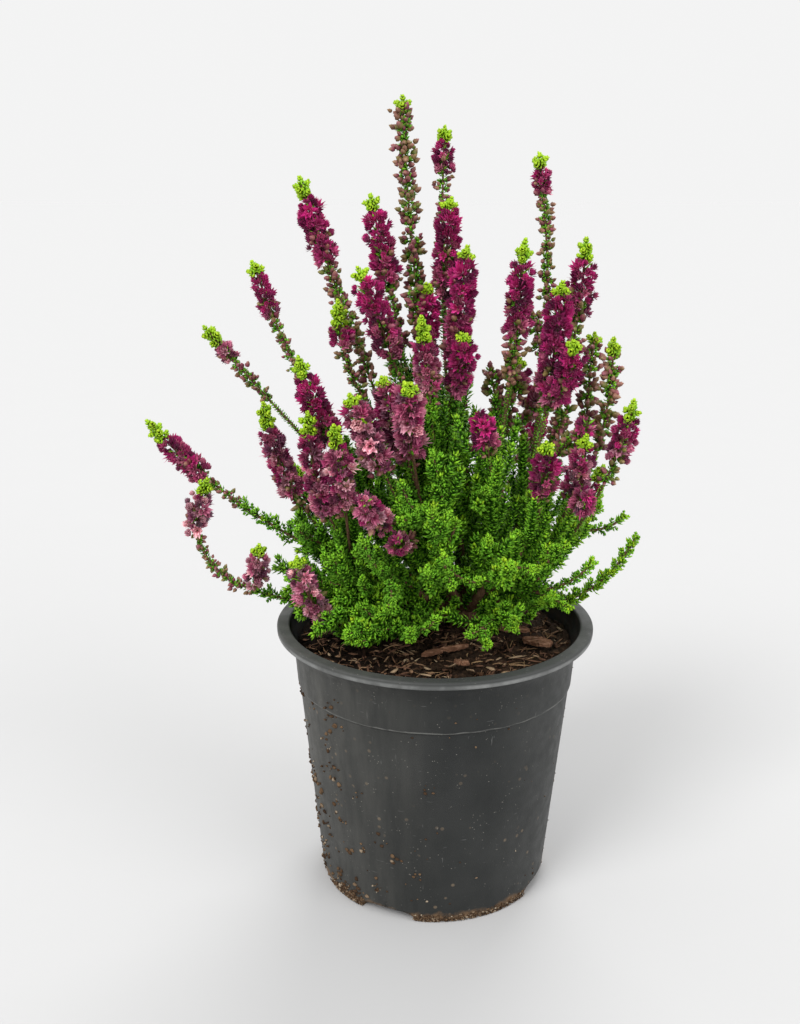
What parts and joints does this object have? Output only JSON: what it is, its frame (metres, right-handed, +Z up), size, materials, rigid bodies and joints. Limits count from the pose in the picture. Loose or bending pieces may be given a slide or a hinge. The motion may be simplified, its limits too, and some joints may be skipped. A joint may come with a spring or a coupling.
{
  "type": "potted heather",
  "caption": "Low bushy heather with scale-leaved green stems and upright magenta flower spikes, in a round tapered plastic nursery pot of compost.",
  "frame": {"origin": "centre of the pot's flat underside", "axes": "+Z up along the pot's axis, -Y is the front"},
  "size_m": [0.1813, 0.1386, 0.2929],
  "materials": {
    "pot": "satin dark grey, scuffed and dirty",
    "soil": "dark crumbly damp compost",
    "bark": "rough fibrous bark",
    "wood": "rough brown twigs",
    "leaf": "soft green scale leaves with lime tips",
    "flower": "papery magenta florets, purple-brown buds and lime tips"
  },
  "bodies": {
    "root": {"pot": "pot", "soil": "soil", "bark_chip_01": "bark", "bark_chip_02": "bark", "bark_chip_03": "bark", "bark_chip_04": "bark", "woody_stems": "wood", "leafy_stem_01": "leaf", "leafy_stem_02": "leaf", "leafy_stem_03": "leaf", "leafy_stem_04": "leaf", "leafy_stem_05": "leaf", "leafy_stem_06": "leaf", "leafy_stem_07": "leaf", "leafy_stem_08": "leaf", "leafy_stem_09": "leaf", "leafy_stem_10": "leaf", "leafy_stem_11": "leaf", "leafy_stem_12": "leaf", "leafy_stem_13": "leaf", "leafy_stem_14": "leaf", "leafy_stem_15": "leaf", "leafy_stem_16": "leaf", "leafy_stem_17": "leaf", "leafy_stem_18": "leaf", "leafy_stem_19": "leaf", "leafy_stem_20": "leaf", "flower_spray_01": "flower", "flower_spray_02": "flower", "flower_spray_03": "flower", "flower_spray_04": "flower", "flower_spray_05": "flower", "flower_spray_06": "flower", "flower_spray_07": "flower", "flower_spray_08": "flower", "flower_spray_09": "flower", "flower_spray_10": "flower", "flower_spray_11": "flower", "flower_spray_12": "flower", "flower_spray_13": "flower", "flower_spray_14": "flower", "flower_spray_15": "flower", "flower_spray_16": "flower", "flower_spray_17": "flower", "flower_spray_18": "flower", "flower_spray_19": "flower", "flower_spray_20": "flower", "flower_spray_21": "flower", "flower_spray_22": "flower", "flower_spray_23": "flower", "flower_spray_24": "flower", "flower_spray_25": "flower", "flower_spray_26": "flower", "flower_spray_27": "flower", "flower_spray_28": "flower", "flower_spray_29": "flower", "flower_spray_30": "flower", "flower_spray_31": "flower", "flower_spray_32": "flower", "flower_spray_33": "flower"}
  },
  "joints": []
}
